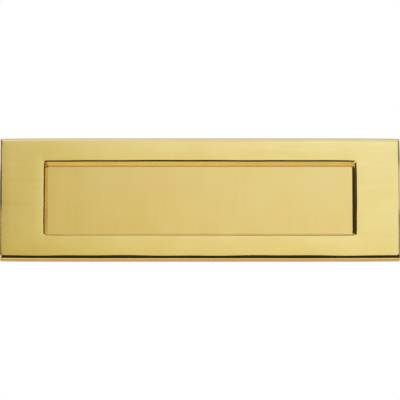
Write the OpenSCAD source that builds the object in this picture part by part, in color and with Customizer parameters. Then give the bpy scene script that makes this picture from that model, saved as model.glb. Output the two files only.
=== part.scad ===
// Sprung letter plate: a hollow brass face plate with a recessed aperture, closed from behind by a
// brass flap that hangs on a rod and opens inwards. Two studs pass through the door.
// X is along the plate, +Z is up, and -Y is the street side. The origin is at the middle of the
// plate's back rim, which lies on the door's face at y = 0.

/* [Face plate] */
// Width of the face plate
plate_w = 254; // [250:1:280]
// Height of the face plate
plate_h = 80; // [78:1:90]
// Depth of the face plate, from its front face to the door
plate_t = 7.5; // [7.25:0.25:9]
// Wall thickness of the hollow casting
wall_t = 3; // [2:0.25:3]
// Radius of the plate's four corners
corner_r = 1.2; // [0.4:0.1:3]
// Width of the sloped front edge along the plate's top and bottom
long_edge_w = 2; // [0.6:0.1:2]
// Width of the sloped front edge at the plate's two ends
end_edge_w = 0.9; // [0.6:0.1:2]
// Depth of the sloped front edge
edge_d = 1; // [0.4:0.1:1.5]

/* [Aperture] */
// Width of the aperture where the flap closes it
slot_w = 193; // [170:1:193]
// Height of the aperture where the flap closes it
slot_h = 44.6; // [38:0.2:44.6]
// Depth of the flap's face behind the front face
recess = 4.5; // [4.5:0.25:5.5]
// Width of the sloping side of the aperture, all round
slope_w = 1.9; // [0.5:0.1:2.5]
// Width of the bevel at the aperture's front edge
bevel_w = 1; // [0.4:0.1:1.5]
// Depth of the bevel at the aperture's front edge
bevel_d = 0.7; // [0.3:0.1:1]
// Radius of the aperture's corners
slot_r = 1; // [0.5:0.25:3]
// Width of the lip behind the aperture that the flap closes on
lip_w = 3; // [2:0.25:3]

/* [Flap and hinge] */
// Thickness of the flap's sheet
flap_t = 1.8; // [1.5:0.1:2]
// Diameter of the hinge rod
rod_d = 3; // [2.5:0.25:3]
// Opening angle to show the flap at
flap_angle = 0; // [0:1:85]

/* [Springs] */
// Diameter of the spring wire
wire_d = 0.8; // [0.6:0.05:0.8]
// Number of turns in each spring
spring_turns = 7; // [4:1:7]

/* [Fixings] */
// Distance between the two fixing studs
stud_spacing = 225; // [220:1:228]
// Thickness of the door that the nuts are set for
door_t = 44; // [42:1:50]
// Length of each stud behind the door's outer face
stud_len = 58; // [58:1:70]

/* [Hidden] */
$fn = 64;

brass = [0.85, 0.74, 0.42];
steel = [0.72, 0.73, 0.75];
zinc = [0.80, 0.80, 0.78];
rubber = [0.12, 0.12, 0.12];

cut = 1;                                   // how far a cutter passes the face it cuts
join = 0.01;                               // how far one cutter runs into the next
end_t = 0.001;                             // thickness of the two slabs that a flared cutter joins
hollow_r = 1;                              // corner radius of the hollow behind the plate

// Depths, along Y
front_y = -plate_t;
inner_y = front_y + wall_t;                // back of the front wall, inside the hollow
flap_y = front_y + recess;                 // street side of the flap
buffer_h = 0.3;                            // how far the buffers stand out of the lip
lip_y = flap_y - buffer_h;                 // back of the lip
flap_back_y = flap_y + flap_t;

// Flap
lip_half_w = slot_w / 2 + lip_w;
lip_half_h = slot_h / 2 + lip_w;
flap_top_lap = 1;                          // how far the flap stands above the lip
flap_r = 1;                                // radius of the flap's corners

// Hinge: the spring's wire lies along the flap's back, so the wire and the coil set the rod's place
touch_gap = 0.05;
rod_r = rod_d / 2;
wire_r = wire_d / 2;
coil_gap = 0.2;                            // between the rod and the inside of a coil
coil_r = rod_r + coil_gap + wire_r;        // to the middle of the wire
hinge_y = flap_back_y + touch_gap + wire_r + coil_r;
swing_gap = 0.35;                          // between the open flap and the top of the lip
hinge_z = lip_half_h + (hinge_y - flap_y) + swing_gap;
ear_r = 3;
ear_foot_z = 4;                            // where the ear leaves the flap's side
ear_root = 0.5;                            // how far an ear's root runs into the sheet
ear_gap = 0.5;                             // side play between an ear and its lug
run_gap = 0.05;                            // radial clearance of an ear on the rod
lug_x = lip_half_w + ear_gap;              // inner face of a lug
lug_t = 3.5;
lug_r = 3.2;

// Rod ends and clips
groove_gap = 0.1;                          // end play between a lug and its clip's groove
groove_x = lug_x + lug_t + groove_gap;
groove_w = 0.6;
groove_depth = 0.35;
clip_t = 0.5;
clip_r = 3;
clip_mouth = 1.6;
rod_end = 1.3;                             // rod left outside each groove

// Springs
coil_pitch = wire_d + touch_gap;
coil_side_gap = 0.3;                       // between an ear and its coil
coil_x = lip_half_w - flap_t - coil_side_gap - wire_r;   // middle of the wire where a coil starts
coil_from = 225;                           // angle about +X, from +Y, where the fixed leg joins
coil_to = 180 + 360 * spring_turns;        // and where the leg down the flap joins
fixed_leg_y = inner_y + touch_gap + wire_r;
fixed_leg_tip = 1.6;                       // length of the fixed leg that lies on the plate
flap_leg = 15;
wire_sides = 8;
coil_steps = 112;
keeper_r = 3.2;
keeper_t = 0.5;
keeper_gap = 0.2;

// Buffers, towards the outside of the lip so that the aperture's sloping side stays whole
buffer_x = 80;
buffer_r = 0.3 * lip_w;
buffer_z = -(slot_h / 2 + 0.6 * lip_w);
buffer_depth = 1;                          // length of a buffer inside the lip

// Fixings, for an M5 thread
stud_x = stud_spacing / 2;
stud_r = 2.5;
thread_r = 2.24;                           // middle of the thread's flanks
boss_r = 5;
boss_y = -0.3;
thread_floor = 2;                          // brass left in front of the blind thread
thread_y = front_y + thread_floor;
nut_thread_run = 6;                        // thread left in front of the door's inner face
nut_thread_y = door_t - nut_thread_run;
stud_chamfer = 0.6;
washer_r = 5;
washer_hole_r = 2.65;
washer_t = 1;
lock_r = 4.6;
lock_hole_r = 2.55;
lock_t = 1.2;
lock_slit = 0.8;
nut_af = 8;
nut_t = 4;

// A flat outline with round corners
module round_rect(w, h, r) {
    square([w - 2 * r, h], center = true);
    square([w, h - 2 * r], center = true);
    for (x = [-1, 1], z = [-1, 1]) translate([x * (w / 2 - r), z * (h / 2 - r)]) circle(r);
}

// That outline as a slab in the plate's plane, from y1 back to y2
module slab(w, h, r, y1, y2) {
    translate([0, y2, 0]) rotate([90, 0, 0]) linear_extrude(y2 - y1) round_rect(w, h, r);
}

// A cylinder along Y, from y1 back to y2
module post(r, y1, y2) {
    translate([0, y2, 0]) rotate([90, 0, 0]) cylinder(r = r, h = y2 - y1);
}

// A cylinder along X, from x1 to x2
module axle(r, x1, x2) {
    translate([x1, 0, 0]) rotate([0, 90, 0]) cylinder(r = r, h = x2 - x1);
}

// The section of the plate's outer form across its width or height w, with both front edges sloped
module edged_section(w, edge_w) {
    face = w / 2 - edge_w;
    polygon([
        [w / 2, 0], [w / 2, front_y + edge_d], [face, front_y],
        [-face, front_y], [-w / 2, front_y + edge_d], [-w / 2, 0]
    ]);
}

// The plate's outer form: flat at the back, with all four front edges sloped
module outer_form() {
    intersection() {
        slab(plate_w, plate_h, corner_r, front_y, 0);
        translate([0, 0, -plate_h / 2]) linear_extrude(plate_h) edged_section(plate_w, end_edge_w);
        rotate([0, 90, 0]) translate([0, 0, -plate_w / 2])
            linear_extrude(plate_w) edged_section(plate_h, long_edge_w);
    }
}

// A flared cutter that grows by flare on each side, from y1 forwards to y2
module flared(w, h, y1, y2, flare) {
    hull() {
        slab(w, h, slot_r, y1, y1 + end_t, $fn = 32);
        slab(w + 2 * flare, h + 2 * flare, slot_r, y2 - end_t, y2, $fn = 32);
    }
}

// The aperture, open to the back, with sloping sides and a bevelled front edge
module aperture() {
    bevel_y = front_y + bevel_d;
    past = bevel_w * cut / bevel_d;        // how far the bevel's slope has spread at the cutter's end
    slab(slot_w, slot_h, slot_r, lip_y - join, cut);
    flared(slot_w, slot_h, lip_y, bevel_y, slope_w);
    flared(slot_w + 2 * slope_w, slot_h + 2 * slope_w, bevel_y, front_y - cut, bevel_w + past);
}

// A hinge lug standing on the back of the front wall, centred on the rod
module lug() {
    translate([lug_x, inner_y - cut, hinge_z - lug_r])
        cube([lug_t, hinge_y - inner_y + cut, 2 * lug_r]);
    translate([0, hinge_y, hinge_z]) axle(lug_r, lug_x, lug_x + lug_t);
}

module front_plate() {
    color(brass) difference() {
        union() {
            difference() {
                outer_form();
                slab(plate_w - 2 * wall_t, plate_h - 2 * wall_t, hollow_r, inner_y, cut);
            }
            slab(2 * lip_half_w, 2 * lip_half_h, slot_r + lip_w, inner_y - cut, lip_y);
            for (side = [0, 1]) mirror([side, 0, 0]) {
                lug();
                translate([stud_x, 0, 0]) post(boss_r, inner_y - cut, boss_y);
            }
        }
        aperture();
        for (side = [0, 1]) mirror([side, 0, 0]) {
            translate([0, hinge_y, hinge_z]) axle(rod_r, lug_x - cut, lug_x + lug_t + cut);
            translate([stud_x, 0, 0]) post(thread_r, thread_y, cut);
            translate([buffer_x, 0, buffer_z]) post(buffer_r, lip_y - buffer_depth, lip_y + cut);
        }
    }
}

// One ear of the flap: the sheet folded back at the flap's side and rounded about the rod
module ear() {
    translate([lip_half_w - flap_t, 0, 0]) rotate([90, 0, 90]) linear_extrude(flap_t) {
        translate([hinge_y, hinge_z]) circle(ear_r);
        polygon([
            [flap_back_y - ear_root, ear_foot_z], [flap_back_y, ear_foot_z],
            [hinge_y + ear_r, hinge_z], [hinge_y - ear_r, hinge_z],
            [flap_back_y - ear_root, lip_half_h]
        ]);
    }
}

module flap_at_rest() {
    difference() {
        union() {
            translate([0, 0, flap_top_lap / 2])
                slab(2 * lip_half_w, 2 * lip_half_h + flap_top_lap, flap_r, flap_y, flap_back_y);
            for (side = [0, 1]) mirror([side, 0, 0]) ear();
        }
        translate([0, hinge_y, hinge_z])
            axle(rod_r + run_gap, -lip_half_w - cut, lip_half_w + cut);
    }
}

module flap() {
    color(brass) translate([0, hinge_y, hinge_z]) rotate([flap_angle, 0, 0])
        translate([0, -hinge_y, -hinge_z]) flap_at_rest();
}

module hinge_rod() {
    half = groove_x + groove_w + rod_end;
    color(steel) translate([0, hinge_y, hinge_z]) {
        axle(rod_r - groove_depth, -half, half);
        axle(rod_r, -groove_x, groove_x);
        for (side = [0, 1]) mirror([side, 0, 0]) axle(rod_r, groove_x + groove_w, half);
    }
}

// A clip in the rod's groove, open at the bottom
module rod_clip(side) {
    x = groove_x + (groove_w - clip_t) / 2;
    color(steel) mirror([side, 0, 0]) translate([0, hinge_y, hinge_z]) difference() {
        axle(clip_r, x, x + clip_t);
        axle(rod_r - groove_depth, x - cut, x + clip_t + cut);
        translate([x - cut, -clip_mouth / 2, -clip_r - cut])
            cube([clip_t + 2 * cut, clip_mouth, clip_r + cut]);
    }
}

// The wire's middle line: up the plate's back, round the rod, then down the flap's back
function on_coil(a, x) = [x, hinge_y + coil_r * cos(a), hinge_z + coil_r * sin(a)];
function coil_point(i) = on_coil(
    coil_from + (coil_to - coil_from) * i / coil_steps,
    coil_x - coil_pitch * (coil_to - coil_from) / 360 * i / coil_steps
);
coil_end_x = coil_x - coil_pitch * (coil_to - coil_from) / 360;
leg_rise = on_coil(coil_from, 0)[1] - fixed_leg_y;    // the fixed leg climbs at 45 degrees
leg_top = on_coil(coil_from, 0)[2] + leg_rise;
wire_path = concat(
    [[coil_x, fixed_leg_y, leg_top + fixed_leg_tip], [coil_x, fixed_leg_y, leg_top]],
    [for (i = [0:coil_steps]) coil_point(i)],
    [[coil_end_x, hinge_y - coil_r, hinge_z - flap_leg]]
);

function unit(v) = v / norm(v);
// Direction of a path at point i
function heading(path, i) = unit(path[min(i + 1, len(path) - 1)] - path[max(i - 1, 0)]);

// A round wire along a path that turns about the X axis
module wire(path) {
    last = len(path) - 1;
    rings = [for (i = [0:last]) let (d = heading(path, i), u = unit(cross(d, [1, 0, 0])), v = cross(d, u))
        for (k = [0:wire_sides - 1]) let (a = 360 * (k + 0.5) / wire_sides)
            path[i] + wire_r * (u * cos(a) + v * sin(a))];
    sides = [for (i = [0:last - 1], k = [0:wire_sides - 1]) let (m = (k + 1) % wire_sides)
        [i * wire_sides + k, (i + 1) * wire_sides + k, (i + 1) * wire_sides + m, i * wire_sides + m]];
    start = [for (k = [0:wire_sides - 1]) k];
    end = [for (k = [wire_sides - 1:-1:0]) last * wire_sides + k];
    polyhedron(rings, concat(sides, [start, end]));
}

module spring(side) {
    color(steel) mirror([side, 0, 0]) wire(wire_path);
}

// A push-on washer that keeps a spring beside its ear
module spring_keeper(side) {
    x = coil_end_x - wire_r - keeper_gap - keeper_t;
    color(steel) mirror([side, 0, 0]) translate([0, hinge_y, hinge_z]) difference() {
        axle(keeper_r, x, x + keeper_t);
        axle(rod_r, x - cut, x + keeper_t + cut);
    }
}

module buffer(side) {
    color(rubber) mirror([side, 0, 0])
        translate([buffer_x, 0, buffer_z]) post(buffer_r, lip_y - buffer_depth, flap_y);
}

module fixing_stud(side) {
    color(zinc) mirror([side, 0, 0]) translate([stud_x, 0, 0]) {
        post(thread_r, thread_y, stud_len - stud_chamfer);
        post(stud_r, boss_y, nut_thread_y);
        post(thread_r - stud_chamfer, thread_y, stud_len);
    }
}

module washer(side) {
    color(zinc) mirror([side, 0, 0]) translate([stud_x, 0, 0]) difference() {
        post(washer_r, door_t, door_t + washer_t);
        post(washer_hole_r, door_t - cut, door_t + washer_t + cut);
    }
}

module lock_washer(side) {
    y = door_t + washer_t;
    color(zinc) mirror([side, 0, 0]) translate([stud_x, 0, 0]) difference() {
        post(lock_r, y, y + lock_t);
        post(lock_hole_r, y - cut, y + lock_t + cut);
        translate([-lock_slit / 2, y - cut, 0]) cube([lock_slit, lock_t + 2 * cut, lock_r + cut]);
    }
}

module nut(side) {
    y = door_t + washer_t + lock_t;
    color(zinc) mirror([side, 0, 0]) translate([stud_x, 0, 0]) difference() {
        translate([0, y + nut_t, 0]) rotate([90, 0, 0])
            cylinder(r = nut_af / 2 / cos(30), h = nut_t, $fn = 6);
        post(thread_r, y - cut, y + nut_t + cut);
    }
}

front_plate();
flap();
hinge_rod();
rod_clip(1);  // rod_clip_left
rod_clip(0);  // rod_clip_right
spring(1);  // spring_left
spring(0);  // spring_right
spring_keeper(1);  // spring_keeper_left
spring_keeper(0);  // spring_keeper_right
buffer(1);  // buffer_left
buffer(0);  // buffer_right
fixing_stud(1);  // fixing_stud_left
fixing_stud(0);  // fixing_stud_right
washer(1);  // washer_left
washer(0);  // washer_right
lock_washer(1);  // lock_washer_left
lock_washer(0);  // lock_washer_right
nut(1);  // nut_left
nut(0);  // nut_right
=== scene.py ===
from math import atan2, ceil, cos, degrees, hypot, pi, radians, sin, tan

import bmesh
import bpy
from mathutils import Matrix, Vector


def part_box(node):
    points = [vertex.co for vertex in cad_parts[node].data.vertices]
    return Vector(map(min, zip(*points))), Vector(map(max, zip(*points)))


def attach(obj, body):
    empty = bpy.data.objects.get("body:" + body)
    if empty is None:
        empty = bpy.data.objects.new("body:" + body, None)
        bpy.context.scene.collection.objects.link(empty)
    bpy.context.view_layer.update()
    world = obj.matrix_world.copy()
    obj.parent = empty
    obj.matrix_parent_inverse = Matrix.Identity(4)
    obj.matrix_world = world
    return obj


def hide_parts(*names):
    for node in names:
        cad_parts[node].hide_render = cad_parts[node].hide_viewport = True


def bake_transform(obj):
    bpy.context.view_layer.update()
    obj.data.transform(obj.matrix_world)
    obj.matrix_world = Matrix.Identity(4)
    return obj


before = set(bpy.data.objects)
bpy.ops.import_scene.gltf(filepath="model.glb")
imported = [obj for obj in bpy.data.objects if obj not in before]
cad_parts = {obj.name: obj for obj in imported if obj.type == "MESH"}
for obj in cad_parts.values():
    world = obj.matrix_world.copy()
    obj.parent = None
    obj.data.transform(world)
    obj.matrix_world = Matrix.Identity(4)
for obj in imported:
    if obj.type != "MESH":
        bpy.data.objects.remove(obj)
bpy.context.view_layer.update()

# Polished brass letter plate with a sprung inner flap. Sizes below are in millimetres, in the CAD
# frame: X along the plate, +Y into the door, +Z up. MM turns them into metres when a mesh is made.
MM = 0.001


def node_box(node):
    """A CAD node's lowest and highest corners, in millimetres."""
    low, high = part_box(node)
    return Vector(low) / MM, Vector(high) / MM


# ---------------------------------------------------------------- sizes taken from the CAD frame
PLATE_LOW, PLATE_HIGH = node_box("front_plate")
FLAP_LOW, FLAP_HIGH = node_box("flap")
ROD_LOW, ROD_HIGH = node_box("hinge_rod")
BUFFER_LOW, BUFFER_HIGH = node_box("buffer_right")
SPRING_LOW, SPRING_HIGH = node_box("spring_right")
KEEPER_LOW, KEEPER_HIGH = node_box("spring_keeper_right")
CLIP_LOW, CLIP_HIGH = node_box("rod_clip_right")
STUD_LOW, STUD_HIGH = node_box("fixing_stud_right")
WASHER_LOW, WASHER_HIGH = node_box("washer_right")
LOCK_LOW, LOCK_HIGH = node_box("lock_washer_right")
NUT_LOW, NUT_HIGH = node_box("nut_right")

HALF_W, HALF_H = PLATE_HIGH.x, PLATE_HIGH.z
FRONT = PLATE_LOW.y
FLAP_Y = FLAP_LOW.y
LIP_HALF_W, LIP_HALF_H = FLAP_HIGH.x, -FLAP_LOW.z
HINGE_Y = (ROD_LOW.y + ROD_HIGH.y) / 2
HINGE_Z = (ROD_LOW.z + ROD_HIGH.z) / 2
ROD_R = (ROD_HIGH.z - ROD_LOW.z) / 2
STUD_X = (STUD_LOW.x + STUD_HIGH.x) / 2
STUD_R = (STUD_HIGH.x - STUD_LOW.x) / 2

# ---------------------------------------------------------------- sizes repeated from the CAD source
WALL = 3.0
HOLLOW_R = 1.0
CORNER_R = 1.2
LONG_EDGE_W, END_EDGE_W, EDGE_D = 2.0, 0.9, 1.0
LIP_W = 3.0
SLOPE_W = 1.9
BEVEL_W, BEVEL_D = 1.0, 0.7
SLOT_R = 1.0
BUFFER_PROUD = 0.3
FLAP_T = 1.8
FLAP_R = 1.0
FLAP_TOP_LAP = 1.0
EAR_R = 3.0
EAR_FOOT_Z = 4.0
EAR_ROOT = 0.5
EAR_GAP = 0.5
RUN_GAP = 0.05
LUG_T = 3.5
LUG_R = 3.2
GROOVE_GAP = 0.1
GROOVE_W = 0.6
GROOVE_DEPTH = 0.35
WIRE_R = 0.4
TOUCH_GAP = 0.05
COIL_PITCH = 0.85
COIL_FROM = 225
BOSS_R = 5.0
BOSS_Y = -0.3
THREAD_R = 2.24
NUT_THREAD_Y = 38.0
WASHER_HOLE_R = 2.65
LOCK_HOLE_R = 2.55

INNER = FRONT + WALL
LIP_Y = FLAP_Y - BUFFER_PROUD
FLAP_BACK = FLAP_Y + FLAP_T
LUG_X = LIP_HALF_W + EAR_GAP
GROOVE_X = LUG_X + LUG_T + GROOVE_GAP


# ---------------------------------------------------------------- mesh helpers
def finish_mesh(mesh, name):
    """A new object for a bmesh, with outward normals."""
    bmesh.ops.recalc_face_normals(mesh, faces=mesh.faces)
    data = bpy.data.meshes.new(name)
    mesh.to_mesh(data)
    mesh.free()
    made = bpy.data.objects.new(name, data)
    bpy.context.scene.collection.objects.link(made)
    return made


def baked(piece):
    """Gives a piece the mesh that its modifiers make."""
    graph = bpy.context.evaluated_depsgraph_get()
    graph.update()
    data = bpy.data.meshes.new_from_object(piece.evaluated_get(graph))
    piece.modifiers.clear()
    piece.data = data
    return piece


def smoothed(piece, sharp=38):
    """Smooth but for edges over sharp degrees, with flat faces kept flat right up to rounded edges."""
    piece.data.shade_smooth()
    piece.data.set_sharp_from_angle(angle=radians(sharp))
    even = piece.modifiers.new("even", "WEIGHTED_NORMAL")
    even.keep_sharp = True
    return baked(piece)


def skin(mesh, loops, closed=False):
    """Quads between successive loops of points in millimetres. Its ends are capped, or joined if closed."""
    rings = [[mesh.verts.new(Vector(p) * MM) for p in loop] for loop in loops]
    count = len(rings[0])
    pairs = list(zip(rings, rings[1:])) + ([(rings[-1], rings[0])] if closed else [])
    for one, two in pairs:
        for k in range(count):
            after = (k + 1) % count
            mesh.faces.new((one[k], one[after], two[after], two[k]))
    if not closed:
        mesh.faces.new(rings[0])
        mesh.faces.new(rings[-1])


def mirrored(points, side):
    """The same points on the other half of the object if side is -1."""
    return [(side * x, y, z) for x, y, z in points]


def full_turn(steps):
    """Angles evenly round a circle, in radians."""
    return [2 * pi * k / steps for k in range(steps)]


def lathe_y(mesh, profile, x, z, steps=48):
    """A solid turned about an axis along Y. profile is a list of (radius, y)."""
    turns = full_turn(steps)
    skin(mesh, [[(x + r * cos(a), y, z + r * sin(a)) for a in turns] for r, y in profile])


def lathe_hinge(mesh, profile, steps=40):
    """A solid turned about the hinge's axis. profile is a list of (radius, x)."""
    turns = full_turn(steps)
    skin(mesh, [[(x, HINGE_Y + r * cos(a), HINGE_Z + r * sin(a)) for a in turns] for r, x in profile])


def soft_slab(mesh, outline, middle, radius, start, width, edge, side):
    """A slab along X from start, on one half of the object, with softened edges: at both faces its
    outline of (y, z) points is drawn in towards middle by edge, or less nearer to it than radius."""
    loops = []
    for along, inset in [(0, edge), (edge, 0), (width - edge, 0), (width, edge)]:
        loop = []
        for y, z in outline:
            pull = inset / max(radius, hypot(y - middle[0], z - middle[1]))
            loop.append((start + along, y + (middle[0] - y) * pull, z + (middle[1] - z) * pull))
        loops.append(mirrored(loop, side))
    skin(mesh, loops)


def arc(cx, cy, r, start, end, steps):
    """Points on an arc in a plane, from start to end in degrees."""
    turns = [radians(start + (end - start) * k / steps) for k in range(steps + 1)]
    return [(cx + r * cos(a), cy + r * sin(a)) for a in turns]


def joined(base, cutters, operation="UNION"):
    """base with other solids united to it or taken from it. The others are removed."""
    for cutter in cutters:
        step = base.modifiers.new("join", "BOOLEAN")
        step.operation, step.solver, step.object = operation, "EXACT", cutter
    baked(base)
    for cutter in cutters:
        bpy.data.objects.remove(cutter)
    return base


def place(piece, body, slot, *nodes):
    """Says which body a piece rides on and which nodes it stands for. The slot it is given is not used."""
    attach(piece, body)
    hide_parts(*nodes)
    return piece


# ---------------------------------------------------------------- material helpers
def new_material(name):
    """A material with a metal shader. Returns the material, a node maker, a linker and the shader."""
    material = bpy.data.materials.new(name)
    material.use_nodes = True
    tree = material.node_tree
    shader = tree.nodes["Principled BSDF"]

    def add(kind, **values):
        made = tree.nodes.new(kind)
        for key, value in values.items():
            if hasattr(made, key):
                setattr(made, key, value)
            else:
                made.inputs[key.replace("_", " ")].default_value = value
        return made

    return material, add, tree.links.new, shader


def ramp(add, stops):
    """A colour ramp with (place, colour) stops."""
    made = add("ShaderNodeValToRGB")
    points = made.color_ramp.elements
    for index, (at, colour) in enumerate(stops):
        point = points[index] if index < 2 else points.new(at)
        point.position = at
        point.color = (*colour, 1)
    return made


def grey(value):
    return (value, value, value)


EVEN = (1, 1, 1)


def stretched_noise(add, link, coordinates, scale, size, detail=3.0, rough=0.55):
    """Noise on coordinates that are scaled along each axis first."""
    mapping = add("ShaderNodeMapping")
    mapping.inputs["Scale"].default_value = scale
    noise = add("ShaderNodeTexNoise", Scale=size, Detail=detail, Roughness=rough)
    link(coordinates.outputs["Object"], mapping.inputs["Vector"])
    link(mapping.outputs["Vector"], noise.inputs["Vector"])
    return noise


def metal(name, tones, roughness, streak=EVEN, waves=0.0, grain=0.0, streak_bump=0.0, pits=0.0):
    """A metal with mottled tone, streaked polish, soft waves and fine grain.

    tones and roughness are each a pair. streak scales the coordinates, so that the polish lines run
    along its smallest axis. waves, grain, streak_bump and pits are bump heights in metres.
    """
    material, add, link, shader = new_material(name)
    shader.inputs["Metallic"].default_value = 1.0
    coordinates = add("ShaderNodeTexCoord")

    cloud = stretched_noise(add, link, coordinates, EVEN, size=42.0, detail=4.0)
    lines = stretched_noise(add, link, coordinates, streak, size=340.0, detail=5.0, rough=0.65)
    line_share = 0.45
    low, high = 0.38, 0.62  # most of the mixed noise lies between these
    both = add("ShaderNodeMix", data_type="FLOAT")
    both.inputs["Factor"].default_value = line_share
    link(cloud.outputs["Fac"], both.inputs["A"])
    link(lines.outputs["Fac"], both.inputs["B"])
    tone = ramp(add, [(low, tones[0]), (high, tones[1])])
    link(both.outputs["Result"], tone.inputs["Fac"])
    link(tone.outputs["Color"], shader.inputs["Base Color"])
    gloss = ramp(add, [(low, grey(roughness[0])), (high, grey(roughness[1]))])
    link(both.outputs["Result"], gloss.inputs["Fac"])
    link(gloss.outputs["Color"], shader.inputs["Roughness"])

    below = None
    reliefs = [  # bump height, scale of the coordinates, size and detail of the noise
        (waves, EVEN, 22.0, 1.0),
        (streak_bump, streak, 90.0, 4.0),
        (grain, EVEN, 1500.0, 2.0),
        (pits, EVEN, 380.0, 6.0),
    ]
    for height, scale, size, detail in reliefs:
        if not height:
            continue
        noise = stretched_noise(add, link, coordinates, scale, size, detail)
        bump = add("ShaderNodeBump", Strength=1.0, Distance=height)
        link(noise.outputs["Fac"], bump.inputs["Height"])
        if below:
            link(below.outputs["Normal"], bump.inputs["Normal"])
        below = bump
    if below:
        link(below.outputs["Normal"], shader.inputs["Normal"])
    return material


MATERIALS = {
    "plate": metal(
        "polished_plate_brass", ((0.795, 0.625, 0.265), (0.845, 0.685, 0.315)), (0.13, 0.20), (0.08, 1, 1),
        waves=0.00005, streak_bump=0.0000012,
    ),
    # Deeper orange brass for the aperture's walls: painted reflection of the flap and walls in each other.
    "recess": metal(
        "recess_brass", ((0.81, 0.61, 0.19), (0.86, 0.665, 0.235)), (0.12, 0.18), (0.2, 1, 1),
        waves=0.00003, grain=0.000002,
    ),
    "cast": metal(
        "cast_brass", ((0.46, 0.33, 0.14), (0.66, 0.50, 0.23)), (0.42, 0.62),
        pits=0.00012, grain=0.00001,
    ),
    "flap": metal(
        "polished_flap_brass", ((0.77, 0.575, 0.23), (0.81, 0.635, 0.28)), (0.17, 0.25), (1, 1, 0.06),
        waves=0.00003, streak_bump=0.0000012,
    ),
    "sheet": metal(
        "rolled_sheet_brass", ((0.62, 0.46, 0.20), (0.76, 0.59, 0.28)), (0.30, 0.44), (0.04, 1, 1),
        streak_bump=0.000004, grain=0.000003,
    ),
    "rod": metal(
        "drawn_rod_steel", ((0.50, 0.51, 0.53), (0.66, 0.67, 0.69)), (0.20, 0.34), (0.03, 1, 1),
        streak_bump=0.000003,
    ),
    "spring": metal(
        "spring_wire_steel", ((0.34, 0.35, 0.37), (0.52, 0.53, 0.55)), (0.24, 0.36),
        grain=0.000004,
    ),
    "zinc": metal(
        "zinc_plate", ((0.52, 0.53, 0.51), (0.70, 0.70, 0.65)), (0.24, 0.40),
        grain=0.000006, pits=0.00002,
    ),
}


def rubber_material():
    """Matt black moulded rubber with a faint bloom."""
    material, add, link, shader = new_material("buffer_rubber")
    coordinates = add("ShaderNodeTexCoord")
    bloom = stretched_noise(add, link, coordinates, EVEN, size=700.0, detail=4.0)
    tone = ramp(add, [(0.3, (0.012, 0.012, 0.013)), (0.75, (0.04, 0.04, 0.042))])
    link(bloom.outputs["Fac"], tone.inputs["Fac"])
    link(tone.outputs["Color"], shader.inputs["Base Color"])
    gloss = ramp(add, [(0.3, grey(0.6)), (0.7, grey(0.8))])
    link(bloom.outputs["Fac"], gloss.inputs["Fac"])
    link(gloss.outputs["Color"], shader.inputs["Roughness"])
    bump = add("ShaderNodeBump", Strength=0.5, Distance=0.00002)
    link(bloom.outputs["Fac"], bump.inputs["Height"])
    link(bump.outputs["Normal"], shader.inputs["Normal"])
    return material


MATERIALS["rubber"] = rubber_material()


def paint(piece, *names):
    """Gives a piece its materials, the first one on every face until faces say otherwise."""
    piece.data.materials.clear()
    for name in names:
        piece.data.materials.append(MATERIALS[name])


# ---------------------------------------------------------------- face plate
LONG_STEPS, SHORT_STEPS, CORNER_STEPS = 36, 14, 8


def ripple(along):
    """The slow unevenness of a hand-finished edge, from -1 to 1: a long wave and a short one."""
    return 0.6 * sin(along / 17 + 0.9) + 0.4 * sin(along / 6.3 + 2.4)


def frame_loop(half_w, half_h, radius, y, sag=0.0, wave=0.0):
    """A rectangle with round corners. Its sides draw in by sag near the corners and wander by wave."""
    points = []
    corners = [(1, 1, 0), (-1, 1, 90), (-1, -1, 180), (1, -1, 270)]
    inner_w, inner_h = half_w - radius, half_h - radius
    for index, (sx, sz, start) in enumerate(corners):
        arc_points = arc(sx * inner_w, sz * inner_h, radius, start, start + 90, CORNER_STEPS)
        points += arc_points
        nx, nz, next_start = corners[(index + 1) % 4]
        to = arc(nx * inner_w, nz * inner_h, radius, next_start, next_start, 1)[0]
        steps = LONG_STEPS if index % 2 == 0 else SHORT_STEPS
        ax, az = arc_points[-1]
        points += [(ax + (to[0] - ax) * k / steps, az + (to[1] - az) * k / steps) for k in range(1, steps)]
    drawn = []
    for x, z in points:
        near_x, near_z = min(1, abs(x) / half_w), min(1, abs(z) / half_h)
        shift_x = wave * ripple(2 * z) * near_x ** 8 * (1 - near_z ** 8) - sag / half_w * near_z ** 6 * x
        shift_z = wave * ripple(x + z) * near_z ** 8 * (1 - near_x ** 8) - sag / half_h * near_x ** 6 * z
        drawn.append((x + shift_x, y, z + shift_z))
    return drawn


CROWN_REACH, CROWN_DROP = 6.0, 0.10
CROWN_STEPS = (0.0, 0.9, 1.8, 3.0, 4.5, CROWN_REACH)
PLATE_SAG, SLOT_SAG = 0.25, 0.35
PLATE_WAVE, SLOT_WAVE = 0.28, 0.14
RIM_BREAK, LIP_BREAK, ROOT_FILLET = 0.2, 0.3, 0.8  # how far the rim, lip and hollow's roots are rounded
EDGE_BEND, FACE_BEND, BEVEL_BEND = 0.7, 0.55, 0.15  # how far each of the front's bends is rounded
ROOT_DEPTH = 0.6  # how far the root of a lug or boss runs into the front wall
SLOT_HALF_W, SLOT_HALF_H = LIP_HALF_W - LIP_W, LIP_HALF_H - LIP_W


def crowned(distance):
    """How far the polished face falls back at this distance from where an edge starts to slope."""
    return CROWN_DROP * (1 - distance / CROWN_REACH) ** 2


def wandering(distance, slope_w):
    """How much of a wave shows at this distance from where a slope starts: all where the slope ends."""
    return min(1, distance / slope_w) * max(0, 1 - (distance - slope_w) / CROWN_REACH)


def rounded_path(corners, reaches, steps=6):
    """The points of a bent line, each inner corner rounded from its reach before it to its reach after."""
    path = [corners[0]]
    for before, corner, after, reach in zip(corners, corners[1:], corners[2:], reaches):
        if not reach:
            path.append(corner)
            continue
        into = corner + (before - corner).normalized() * reach
        out = corner + (after - corner).normalized() * reach
        for k in range(steps + 1):
            t = k / steps
            path.append(into * (1 - t) ** 2 + corner * (2 * t * (1 - t)) + out * t ** 2)
    return path + [corners[-1]]


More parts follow.
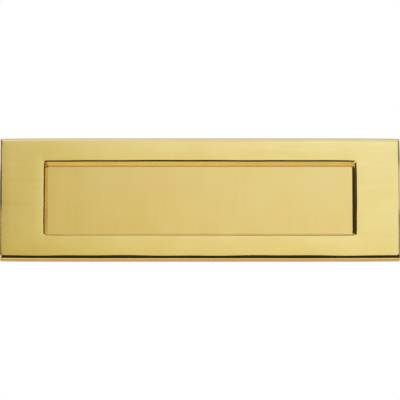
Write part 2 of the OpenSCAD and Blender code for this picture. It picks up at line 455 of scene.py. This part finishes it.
def section_rows(corners, make_row):
    """Rows along a section given as (offset, y, rounding) corners."""
    points = [Vector(corner[:2]) for corner in corners]
    return [make_row(*point) for point in rounded_path(points, [corner[2] for corner in corners[1:]], 4)]


def plate_section():
    """The plate's cross-section, outside first: half width, half height, corner radius, y, sag, wave."""
    def outer_row(inset, y):
        end_inset = inset - (LONG_EDGE_W - END_EDGE_W) * min(1, inset / LONG_EDGE_W)
        wave = PLATE_WAVE * wandering(inset, LONG_EDGE_W)
        radius = CORNER_R + 0.25 * inset
        return HALF_W - end_inset, HALF_H - inset, radius, y, PLATE_SAG, wave

    def slot_row(outset, y):
        share = min(1, outset / (SLOPE_W + BEVEL_W))
        radius = SLOT_R + 0.35 * max(0, outset - SLOPE_W)
        wave = SLOT_WAVE * wandering(outset, SLOPE_W + BEVEL_W)
        return SLOT_HALF_W + outset, SLOT_HALF_H + outset, radius, y, SLOT_SAG * share, wave

    def lip_row(outset, y):
        return LIP_HALF_W + outset, LIP_HALF_H + outset, SLOT_R + LIP_W + outset, y, 0.0

    def hollow_row(inset, y):
        return HALF_W - inset, HALF_H - inset, HOLLOW_R, y, 0.0

    edge = [(RIM_BREAK, 0, 0), (0, -RIM_BREAK, 0), (0, FRONT + EDGE_D + CROWN_DROP, EDGE_BEND)]
    edge += [(LONG_EDGE_W, FRONT + crowned(0), FACE_BEND)]
    edge += [(LONG_EDGE_W + d, FRONT + crowned(d), 0) for d in CROWN_STEPS[1:]]
    mouth = SLOPE_W + BEVEL_W
    slot = [(mouth + d, FRONT + crowned(d), 0) for d in reversed(CROWN_STEPS[1:])]
    slot += [(mouth, FRONT + crowned(0), BEVEL_BEND)]
    slot += [(SLOPE_W, FRONT + BEVEL_D + CROWN_DROP, BEVEL_BEND)]
    slot += [(0, LIP_Y, LIP_BREAK), (LIP_BREAK * 2, LIP_Y, 0)]
    lip = [(-LIP_BREAK * 2, LIP_Y, 0), (0, LIP_Y, LIP_BREAK)]
    lip += [(0, INNER, ROOT_FILLET), (ROOT_FILLET * 2, INNER, 0)]
    hollow = [(WALL + ROOT_FILLET * 2, INNER, 0), (WALL, INNER, ROOT_FILLET)]
    hollow += [(WALL, -RIM_BREAK, 0), (WALL - RIM_BREAK, 0, 0)]
    rows = section_rows(edge, outer_row) + section_rows(slot, slot_row)
    return rows + section_rows(lip, lip_row) + section_rows(hollow, hollow_row)


def lug_solid(side):
    """A hinge lug: round about the rod, with a flared root on the back of the front wall."""
    root = INNER - ROOT_DEPTH
    foot = INNER + 0.2
    flare, softening = 1.0, 0.25
    outline = [(root, HINGE_Z - LUG_R - flare), (foot, HINGE_Z - LUG_R - flare)]
    outline += [(foot + flare, HINGE_Z - LUG_R)]
    outline += arc(HINGE_Y, HINGE_Z, LUG_R, -90, 90, 20)
    outline += [(foot + flare, HINGE_Z + LUG_R), (foot, HINGE_Z + LUG_R + flare)]
    outline += [(root, HINGE_Z + LUG_R + flare)]
    middle_y = sum(y for y, z in outline) / len(outline)
    mesh = bmesh.new()
    soft_slab(mesh, outline, (middle_y, HINGE_Z), LUG_R, LUG_X, LUG_T, softening, side)
    return finish_mesh(mesh, "lug")


def boss_solid(side):
    """A stud boss with a flared root and a softened rim."""
    flare, foot = 1.2, 0.05
    rim, rim_corner = 0.4, 0.12
    profile = [(BOSS_R + flare, INNER - ROOT_DEPTH), (BOSS_R + flare, INNER + foot)]
    for turn in (30, 60, 90):
        a = radians(turn)
        profile.append((BOSS_R + flare * (1 - sin(a)), INNER + flare * (1 - cos(a))))
    profile += [(BOSS_R, BOSS_Y - rim), (BOSS_R - rim_corner, BOSS_Y - rim_corner), (BOSS_R - rim, BOSS_Y)]
    mesh = bmesh.new()
    lathe_y(mesh, profile, side * STUD_X, 0)
    return finish_mesh(mesh, "boss")


def face_plate():
    """The whole casting: polished in front, as cast behind, and deeper in colour inside the aperture, where
    the more saturated orange is painted reflection of the brass flap and walls in each other.
    """
    mesh = bmesh.new()
    skin(mesh, [frame_loop(*row) for row in plate_section()], closed=True)
    plate = finish_mesh(mesh, "face_plate")
    joined(plate, [make(side) for make in (lug_solid, boss_solid) for side in (-1, 1)])
    paint(plate, "plate", "recess", "cast")
    for face in plate.data.polygons:
        centre = face.center / MM
        from_slot = max(abs(centre.x) - SLOT_HALF_W, abs(centre.z) - SLOT_HALF_H)
        from_edge = min(HALF_W - abs(centre.x), HALF_H - abs(centre.z))
        # The aperture's sloping walls take the deeper orange of painted reflection.
        if from_slot < SLOPE_W and centre.y < LIP_Y - LIP_BREAK / 2:
            face.material_index = 1
        elif centre.y > INNER - RIM_BREAK and from_edge > 2 * RIM_BREAK:
            face.material_index = 2
    return place(smoothed(plate, 50), "plate", "plate_brass", "front_plate")


# ---------------------------------------------------------------- flap
def flap_slab():
    """The flap's sheet, with softened edges."""
    top = LIP_HALF_H + FLAP_TOP_LAP
    middle, half_h = (top - LIP_HALF_H) / 2, (top + LIP_HALF_H) / 2
    edge, corner, flat = 0.35, 0.1, 4.0
    rows = [
        (flat, FLAP_Y), (edge, FLAP_Y), (corner, FLAP_Y + corner), (0, FLAP_Y + edge),
        (0, FLAP_BACK - edge), (corner, FLAP_BACK - corner), (edge, FLAP_BACK), (flat, FLAP_BACK),
    ]
    loops = []
    for inset, y in rows:
        loop = frame_loop(LIP_HALF_W - inset, half_h - inset, FLAP_R, y)
        loops.append([(x, y, z + middle) for x, y, z in loop])
    mesh = bmesh.new()
    skin(mesh, loops)
    return finish_mesh(mesh, "flap_sheet")


def ear_solid(side):
    """One ear, folded back from the flap's side and rounded about the rod."""
    root, softening = FLAP_BACK - EAR_ROOT, 0.25
    lean = degrees(atan2(HINGE_Z - EAR_FOOT_Z, HINGE_Y + EAR_R - FLAP_BACK)) - 90
    outline = [(root, EAR_FOOT_Z), (FLAP_BACK, EAR_FOOT_Z)]
    outline += arc(HINGE_Y, HINGE_Z, EAR_R, lean, 180, 24)
    outline += [(root, LIP_HALF_H)]
    mesh = bmesh.new()
    soft_slab(mesh, outline, (HINGE_Y, HINGE_Z), EAR_R, LIP_HALF_W - FLAP_T, FLAP_T, softening, side)
    return finish_mesh(mesh, "ear")


def rod_hole():
    """The cutter that bores both ears."""
    reach = LIP_HALF_W + 1
    mesh = bmesh.new()
    lathe_hinge(mesh, [(ROD_R + RUN_GAP, -reach), (ROD_R + RUN_GAP, reach)])
    return finish_mesh(mesh, "hole")


def flap_piece():
    """The whole flap, polished in front and plain rolled sheet behind."""
    flap = joined(flap_slab(), [ear_solid(-1), ear_solid(1)])
    flap = joined(flap, [rod_hole()], "DIFFERENCE")
    flap.name = "inner_flap"
    paint(flap, "flap", "sheet")
    for face in flap.data.polygons:
        if face.center.y / MM > FLAP_Y + FLAP_T / 3:
            face.material_index = 1
    return place(smoothed(flap, 40), "flap", "flap_brass", "flap")


# ---------------------------------------------------------------- hinge rod and its clips
def hinge_rod():
    """A drawn rod with chamfered ends and a groove for each clip."""
    end, groove_end = ROD_HIGH.x, GROOVE_X + GROOVE_W
    tip_r, groove_r = 0.05, ROD_R - GROOVE_DEPTH
    chamfer = 0.35
    half = [(tip_r, end), (ROD_R - chamfer, end), (ROD_R, end - chamfer)]
    half += [(ROD_R, groove_end), (groove_r, groove_end), (groove_r, GROOVE_X), (ROD_R, GROOVE_X)]
    profile = [(r, -x) for r, x in half] + [(r, x) for r, x in reversed(half)]
    mesh = bmesh.new()
    lathe_hinge(mesh, profile)
    rod = smoothed(finish_mesh(mesh, "hinge_pin"), 30)
    paint(rod, "rod")
    return place(rod, "plate", "rod_steel", "hinge_rod")


def ring_about_rod(mesh, section, turns, closed):
    """A ring about the rod: section(angle) gives (radius, x) points, at each angle in turns."""
    loops = [[(x, HINGE_Y + r * cos(a), HINGE_Z + r * sin(a)) for r, x in section(a)] for a in turns]
    skin(mesh, loops, closed=closed)


def box_section(r1, r2, start, end, edge):
    """A rectangle of (radius, place along the axis) points with its corners cut by edge."""
    return [
        (r1 + edge, start), (r2 - edge, start), (r2, start + edge), (r2, end - edge),
        (r2 - edge, end), (r1 + edge, end), (r1, end - edge), (r1, start + edge),
    ]


def rod_clip(side, node):
    """An E-clip: three prongs grip the groove and the mouth opens downwards."""
    outer = (CLIP_HIGH.y - CLIP_LOW.y) / 2
    grip, hollow, edge = ROD_R - GROOVE_DEPTH, 1.95, 0.06
    prongs, half_prong = [radians(90), radians(205), radians(335)], radians(17)
    half_mouth = radians(27)
    start, end, steps = -pi / 2 + half_mouth, 3 * pi / 2 - half_mouth, 84

    def section(a):
        nearest = min(abs((a - p + pi) % (2 * pi) - pi) for p in prongs)
        inner = grip if nearest < half_prong else hollow
        return box_section(inner, outer, side * CLIP_LOW.x, side * CLIP_HIGH.x, edge)

    mesh = bmesh.new()
    turns = [start + (end - start) * k / steps for k in range(steps + 1)]
    ring_about_rod(mesh, section, turns, closed=False)
    clip = smoothed(finish_mesh(mesh, "clip" + node[len("rod_clip"):]))
    paint(clip, "spring")
    return place(clip, "plate", "spring_steel", node)


def spring_keeper(side, node):
    """A push-on washer with a stiff upturned rim and gripping teeth."""
    outer = (KEEPER_HIGH.y - KEEPER_LOW.y) / 2
    low, high = KEEPER_LOW.x, KEEPER_HIGH.x
    sheet = (high - low) / 2
    teeth, tooth_share, gap_depth, tooth_lift = 6, 0.72, 0.55, 0.1
    rim, dish, flat = 0.25, 0.75, 0.9  # how far inside the outer edge each part of the rim ends

    def section(a):
        on_tooth = (a * teeth / (2 * pi)) % 1 < tooth_share
        inner = ROD_R if on_tooth else ROD_R + gap_depth
        points = [(inner, low + sheet + tooth_lift), (inner, low + tooth_lift), (outer - flat, low)]
        points += [(outer, low), (outer, high), (outer - rim, high), (outer - dish, low + sheet)]
        return [(r, side * x) for r, x in points]

    mesh = bmesh.new()
    ring_about_rod(mesh, section, full_turn(96), closed=True)
    keeper = smoothed(finish_mesh(mesh, "keeper" + node[len("spring_keeper"):]))
    paint(keeper, "spring")
    return place(keeper, "plate", "spring_steel", node)


# ---------------------------------------------------------------- springs
COIL_R = HINGE_Y - (FLAP_BACK + TOUCH_GAP + WIRE_R)
COIL_START_X = SPRING_HIGH.x - WIRE_R
COIL_END_X = SPRING_LOW.x + WIRE_R
FIXED_LEG_Y = INNER + TOUCH_GAP + WIRE_R


def coil_point(x, a):
    """The middle of the wire in a coil, at x along the rod and an angle in radians."""
    return Vector((x, HINGE_Y + COIL_R * cos(a), HINGE_Z + COIL_R * sin(a)))


def spring_path():
    """The middle line of the right spring's wire, from its fixed leg to its flap leg."""
    missing_turn = (COIL_FROM - 180) / 360
    turns = round((COIL_START_X - COIL_END_X) / COIL_PITCH + missing_turn)
    coil_to = 180 + 360 * turns
    start = coil_point(COIL_START_X, radians(COIL_FROM))
    rise = start.y - FIXED_LEG_Y
    bend = Vector((COIL_START_X, FIXED_LEG_Y, start.z + rise))
    tip = bend + Vector((0, 0, SPRING_HIGH.z - bend.z))
    bend_reach, leg_end_gap = 0.8, 0.1
    path = rounded_path([tip, bend, start], [bend_reach])[:-1]
    steps = turns * 28
    for k in range(steps + 1):
        x = COIL_START_X + (COIL_END_X - COIL_START_X) * k / steps
        path.append(coil_point(x, radians(COIL_FROM + (coil_to - COIL_FROM) * k / steps)))
    path.append(Vector((COIL_END_X, HINGE_Y - COIL_R, SPRING_LOW.z + leg_end_gap)))
    return path


def tube(mesh, path, radius, sides=12):
    """A round wire along a path, with softened ends."""
    soften, end_share = 0.12, 0.7
    loops = []
    last = len(path) - 1
    for index, point in enumerate(path):
        ahead = (path[min(index + 1, last)] - path[max(index - 1, 0)]).normalized()
        u = ahead.cross(Vector((1, 0, 0))).normalized()
        v = ahead.cross(u)
        rings = [(0, radius)]
        if index == 0:
            rings = [(0, radius * end_share), (soften, radius)]
        if index == last:
            rings = [(-soften, radius), (0, radius * end_share)]
        for along, r in rings:
            middle = point + ahead * along
            loops.append([middle + (u * cos(a) + v * sin(a)) * r for a in full_turn(sides)])
    skin(mesh, loops)


def spring(side, node):
    """A torsion spring: a coil about the rod, with one leg against the back of the plate's front wall and
    one against the back of the flap.
    """
    path = [Vector(point) for point in mirrored(spring_path(), side)]
    mesh = bmesh.new()
    tube(mesh, path, WIRE_R)
    wire = smoothed(finish_mesh(mesh, "coil" + node[len("spring"):]), 60)
    paint(wire, "spring")
    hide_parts(node)
    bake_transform(wire)
    return wire


# ---------------------------------------------------------------- buffers
def buffer(side, node):
    """A rubber plug with a domed head."""
    low, high = BUFFER_LOW.y, BUFFER_HIGH.y
    radius = (BUFFER_HIGH.x - BUFFER_LOW.x) / 2
    middle_x = side * (BUFFER_LOW.x + BUFFER_HIGH.x) / 2
    middle_z = (BUFFER_LOW.z + BUFFER_HIGH.z) / 2
    taper, lead, dome = 0.85, 0.15, 0.25
    round_share = 0.65  # of the radius, with the rest a flat top
    profile = [(radius * taper, low), (radius, low + lead), (radius, high - dome)]
    for turn in (30, 60, 85):
        a = radians(turn)
        profile.append((radius * (1 - round_share + round_share * cos(a)), high - dome + dome * sin(a)))
    mesh = bmesh.new()
    lathe_y(mesh, profile, middle_x, middle_z, 28)
    plug = smoothed(finish_mesh(mesh, "plug" + node[len("buffer"):]))
    paint(plug, "rubber")
    return place(plug, "plate", "rubber", node)


# ---------------------------------------------------------------- studs, washers and nuts
THREAD_PITCH = 0.8  # of an M5 thread
THREAD_HALF = 0.216  # half the height of the modelled thread
STUD_SIDES = 40


def thread_radius(a, y):
    """The radius of an M5 thread's surface at an angle in radians and a place along Y."""
    phase = (y / THREAD_PITCH - a / (2 * pi)) % 1
    return THREAD_R + THREAD_HALF * (4 * abs(phase - 0.5) - 1)


def threaded(y1, y2, fade, side, per_pitch=8):
    """Loops of a threaded length that runs out smoothly over fade at both ends."""
    root_r = THREAD_R - 0.2
    rows = ceil((y2 - y1) / THREAD_PITCH * per_pitch)
    loops = []
    for k in range(rows + 1):
        y = y1 + (y2 - y1) * k / rows
        share = min(1, (y - y1) / fade, (y2 - y) / fade)
        loop = []
        for a in full_turn(STUD_SIDES):
            r = root_r * (1 - share) + thread_radius(a, y) * share
            loop.append((side * STUD_X + r * cos(a), y, r * sin(a)))
        loops.append(loop)
    return loops


def fixing_stud(side, node):
    """A stud with a plain middle and rolled threads at both ends."""
    low, high = STUD_LOW.y, STUD_HIGH.y
    front_r, back_r = THREAD_R - 0.6, THREAD_R - 0.7
    chamfer_r, chamfer = THREAD_R - 0.35, 0.25
    end = 0.5  # how far each thread stops short of the stud's end
    front_fade, back_fade = 0.5, 0.6
    shank = [BOSS_Y + 0.15, BOSS_Y + 0.5, NUT_THREAD_Y - 0.4]  # places along the plain middle

    def ring(r, y):
        return [(side * STUD_X + r * cos(a), y, r * sin(a)) for a in full_turn(STUD_SIDES)]

    loops = [ring(front_r, low)]
    loops += threaded(low + end, BOSS_Y - 0.05, front_fade, side)
    loops += [ring(STUD_R, y) for y in shank]
    loops += threaded(NUT_THREAD_Y, high - end, back_fade, side)
    loops += [ring(chamfer_r, high - chamfer), ring(back_r, high)]
    mesh = bmesh.new()
    skin(mesh, loops)
    stud = smoothed(finish_mesh(mesh, "stud" + node[len("fixing_stud"):]), 50)
    paint(stud, "zinc")
    return place(stud, "plate", "zinc", node)


def ring_about_stud(mesh, section, turns, side, closed=True):
    """A ring about a stud: section(angle) gives (radius, y) points, at each angle in turns."""
    loops = [[(side * STUD_X + r * cos(a), y, r * sin(a)) for r, y in section(a)] for a in turns]
    skin(mesh, loops, closed=closed)


def washer(side, node):
    """A plain washer with softened edges."""
    outer, edge = (WASHER_HIGH.x - WASHER_LOW.x) / 2, 0.12
    section = box_section(WASHER_HOLE_R, outer, WASHER_LOW.y, WASHER_HIGH.y, edge)
    mesh = bmesh.new()
    ring_about_stud(mesh, lambda a: section, full_turn(64), side)
    made = smoothed(finish_mesh(mesh, "plain_washer" + node[len("washer"):]))
    paint(made, "zinc")
    return place(made, "plate", "zinc", node)


def lock_washer(side, node):
    """A split washer whose two ends stand apart along the stud."""
    outer, edge = (LOCK_HIGH.z - LOCK_LOW.z) / 2, 0.1
    half_slit, rise, steps = radians(7), 0.12, 72
    start, end = pi / 2 + half_slit, pi / 2 + 2 * pi - half_slit

    def section(a):
        lift = rise * (a - start) / (end - start)
        return box_section(LOCK_HOLE_R, outer, LOCK_LOW.y + lift, LOCK_HIGH.y - rise + lift, edge)

    mesh = bmesh.new()
    turns = [start + (end - start) * k / steps for k in range(steps + 1)]
    ring_about_stud(mesh, section, turns, side, closed=False)
    made = smoothed(finish_mesh(mesh, "split_washer" + node[len("lock_washer"):]))
    paint(made, "zinc")
    return place(made, "plate", "zinc", node)


def nut(side, node):
    """A hexagon nut with chamfered faces and a threaded bore."""
    flat = (NUT_HIGH.z - NUT_LOW.z) / 2
    low, high = NUT_LOW.y, NUT_HIGH.y
    face_r, cone_r, cone_angle = flat - 0.23, flat + 0.02, radians(30)
    face_drop, cone_drop = 0.03, 0.06
    lead, lead_r, lead_slope = 0.45, THREAD_R + 0.15, 0.3
    thread_gap, rows = 0.03, 40

    def section(a):
        hex_r = flat / cos((a % (pi / 3)) - pi / 6)
        drop = cone_drop + (hex_r - cone_r) * tan(cone_angle)
        outline = [(face_r, low), (cone_r, low + face_drop), (hex_r, low + drop)]
        outline += [(hex_r, high - drop), (cone_r, high - face_drop), (face_r, high)]
        for k in range(rows + 1):
            y = high - (high - low) * k / rows
            depth = min(y - low, high - y)
            r = thread_radius(a, y) + thread_gap
            if depth < lead:
                r = max(r, lead_r + (lead - depth) * lead_slope)
            outline.append((r, y))
        return outline

    mesh = bmesh.new()
    ring_about_stud(mesh, section, full_turn(120), side)
    made = smoothed(finish_mesh(mesh, "hex_nut" + node[len("nut"):]), 25)
    paint(made, "zinc")
    return place(made, "plate", "zinc", node)


face_plate()
flap_piece()
hinge_rod()
for side, hand in [(-1, "left"), (1, "right")]:
    rod_clip(side, "rod_clip_" + hand)
    spring_keeper(side, "spring_keeper_" + hand)
    spring(side, "spring_" + hand)
    buffer(side, "buffer_" + hand)
    fixing_stud(side, "fixing_stud_" + hand)
    washer(side, "washer_" + hand)
    lock_washer(side, "lock_washer_" + hand)
    nut(side, "nut_" + hand)


# ---------------------------------------------------------------- floor, camera and lights
CAMERA_BELOW = radians(17)
LENS, SENSOR = 600.0, 36.0
AIM = Vector((0, FRONT, -1.35)) * MM
FILL = 1.0025  # the plate's width over the picture's
FLOOR_Z = -1.36  # in metres, like the floor's other sizes and the front card's


def pale_floor():
    """A pale studio floor, well below the part."""
    material, add, link, shader = new_material("studio_floor")
    coordinates = add("ShaderNodeTexCoord")
    cloud = stretched_noise(add, link, coordinates, EVEN, size=1.4)
    tone = ramp(add, [(0.3, grey(0.80)), (0.7, grey(0.83))])
    link(cloud.outputs["Fac"], tone.inputs["Fac"])
    link(tone.outputs["Color"], shader.inputs["Base Color"])
    shader.inputs["Roughness"].default_value = 0.9
    mesh = bmesh.new()
    bmesh.ops.create_grid(mesh, x_segments=8, y_segments=8, size=9.0)
    data = bpy.data.meshes.new("floor")
    mesh.to_mesh(data)
    mesh.free()
    ground = bpy.data.objects.new("floor", data)
    ground.location.z = FLOOR_Z
    ground.visible_glossy = False
    data.materials.append(material)
    bpy.context.scene.collection.objects.link(ground)


def main_camera():
    """A long lens a little below the plate, so that its underside shows and its sides stay upright."""
    data = bpy.data.cameras.new("camera")
    data.lens, data.sensor_width = LENS, SENSOR
    distance = 2 * HALF_W * MM * LENS / SENSOR / FILL
    eye = bpy.data.objects.new("camera", data)
    back = Vector((0, -cos(CAMERA_BELOW), -sin(CAMERA_BELOW)))
    eye.location = AIM + back * distance
    eye.rotation_mode = "QUATERNION"
    eye.rotation_quaternion = (-back).to_track_quat("-Z", "Y")
    data.clip_start, data.clip_end = 0.01, 60
    bpy.context.scene.collection.objects.link(eye)
    bpy.context.scene.camera = eye


def front_card(elevation, distance, size, power, across, up):
    """A soft panel in front of the plate, whose colour is the product of two ramps.

    across and up give their (place, colour) stops, from left to right and from bottom to top.
    """
    data = bpy.data.lights.new("front_card", "AREA")
    data.shape, data.size, data.size_y = "RECTANGLE", *size
    data.energy = power
    data.use_nodes = True
    tree = data.node_tree
    panel = tree.nodes.new("ShaderNodeNewGeometry")
    parts = tree.nodes.new("ShaderNodeSeparateXYZ")
    tree.links.new(panel.outputs["Parametric"], parts.inputs[0])
    both = tree.nodes.new("ShaderNodeVectorMath")
    both.operation = "MULTIPLY"
    for index, (axis, tones) in enumerate([("X", across), ("Y", up)]):
        tone = ramp(tree.nodes.new, tones)
        tree.links.new(parts.outputs[axis], tone.inputs["Fac"])
        tree.links.new(tone.outputs["Color"], both.inputs[index])
    tree.links.new(both.outputs[0], tree.nodes["Emission"].inputs["Color"])
    card = bpy.data.objects.new("front_card", data)
    out = Vector((0, -cos(elevation), sin(elevation)))
    card.location = out * distance
    card.rotation_mode = "QUATERNION"
    card.rotation_quaternion = (-out).to_track_quat("-Z", "Y")
    card.visible_camera = False
    bpy.context.scene.collection.objects.link(card)


def sky_maths(tree):
    """Three makers of maths nodes for a sky: sums, rises and falls."""
    def sums(operation, *inputs):
        made = tree.nodes.new("ShaderNodeMath")
        made.operation = operation
        for index, value in enumerate(inputs):
            if isinstance(value, float):
                made.inputs[index].default_value = value
            else:
                tree.links.new(value, made.inputs[index])
        return made.outputs[0]

    def rises(socket, start, end, low=0.0, high=1.0):
        """Goes smoothly from low, where socket is start, to high, where it is end."""
        made = tree.nodes.new("ShaderNodeMapRange")
        made.interpolation_type = "SMOOTHSTEP"
        tree.links.new(socket, made.inputs["Value"])
        values = {"From Min": start, "From Max": end, "To Min": low, "To Max": high}
        for key, value in values.items():
            made.inputs[key].default_value = value
        return made.outputs["Result"]

    def falls(socket, start, end):
        return rises(socket, start, end, 1.0, 0.0)

    return sums, rises, falls


def sky_brightness(maths, x, y, z):
    """How bright the sky is in the direction x, y, z: 1, but for a few dark patches."""
    sums, rises, falls = maths

    def kept(strength, *edges):
        """1 outside a patch of sky whose edges are given as fades, and 1 - strength inside it."""
        patch = edges[0]
        for edge in edges[1:]:
            patch = sums("MULTIPLY", patch, edge)
        return sums("SUBTRACT", 1.0, sums("MULTIPLY", patch, strength))

    width = sums("ABSOLUTE", x)
    level = sums("SQRT", sums("SUBTRACT", 1.0, sums("MULTIPLY", z, z)))
    rightward = sums("DIVIDE", x, sums("MAXIMUM", level, 0.001))
    in_front = falls(y, -0.25, -0.1)
    above = rises(z, -0.12, 0.0)
    not_straight_down = rises(z, -0.92, -0.85)
    # In turn: behind and under the front card, on the left, on the right, low on the right in front,
    # and high behind. The last patch is straight down, and brighter than the rest of the sky.
    patches = [
        kept(0.97, in_front, falls(width, 0.38, 0.48), falls(z, 0.5, 0.75), not_straight_down),
        kept(0.95, falls(y, 0.0, 0.3), falls(x, -0.55, -0.4), above),
        kept(0.95, falls(y, -0.05, 0.25), rises(rightward, 0.87, 0.91), above),
        kept(0.9, in_front, rises(x, 0.3, 0.42), falls(z, -0.1, 0.1), not_straight_down),
        kept(0.9, rises(y, -0.2, 0.08), rises(z, 0.1, 0.3), falls(width, 0.5, 0.8)),
        kept(-0.2, falls(z, -0.95, -0.9)),
    ]
    lit = patches[0]
    for patch in patches[1:]:
        lit = sums("MULTIPLY", lit, patch)
    return lit


def studio_world():
    """White where the camera looks. What the part reflects is a pale studio with dark patches, and it
    is warmer low down behind the part."""
    world = bpy.data.worlds.new("studio")
    world.use_nodes = True
    bpy.context.scene.world = world
    tree = world.node_tree
    background = tree.nodes["Background"]
    direction = tree.nodes.new("ShaderNodeTexCoord")
    parts = tree.nodes.new("ShaderNodeSeparateXYZ")
    tree.links.new(direction.outputs["Generated"], parts.inputs[0])
    x, y, z = (parts.outputs[axis] for axis in "XYZ")
    maths = sky_maths(tree)
    sums, rises, falls = maths
    seen_by_camera = tree.nodes.new("ShaderNodeLightPath").outputs["Is Camera Ray"]
    lit = sky_brightness(maths, x, y, z)
    tree.links.new(sums("MAXIMUM", lit, seen_by_camera), background.inputs["Strength"])

    warmth = sums("MULTIPLY", rises(y, 0.12, 0.35), falls(z, -0.2, 0.0))
    warmth = sums("MULTIPLY", warmth, falls(sums("ABSOLUTE", x), 0.35, 0.5))
    warmth = sums("MULTIPLY", warmth, sums("SUBTRACT", 1.0, seen_by_camera))
    tint = tree.nodes.new("ShaderNodeMix")
    tint.data_type = "RGBA"
    tree.links.new(warmth, tint.inputs["Factor"])
    plain, warm = (socket for socket in tint.inputs if socket.type == "RGBA")
    plain.default_value = (1, 1, 1, 1)
    warm.default_value = (0.66, 0.49, 0.24, 1)
    tinted = next(socket for socket in tint.outputs if socket.type == "RGBA")
    tree.links.new(tinted, background.inputs["Color"])


pale_floor()
main_camera()
studio_world()
bpy.context.scene.view_settings.view_transform = "Standard"
front_card(
    elevation=radians(14), distance=0.7, size=(0.6, 0.62), power=1.635,
    across=[
        (0.2, (0.455, 0.44, 0.3)), (0.35, (0.625, 0.645, 0.54)),
        (0.5, (0.72, 0.75, 0.775)), (0.76, (0.78, 0.865, 1.0)),
    ],
    up=[(0.4, (0.88, 0.785, 0.479)), (0.72, (1.0, 1.0, 1.0))],
)
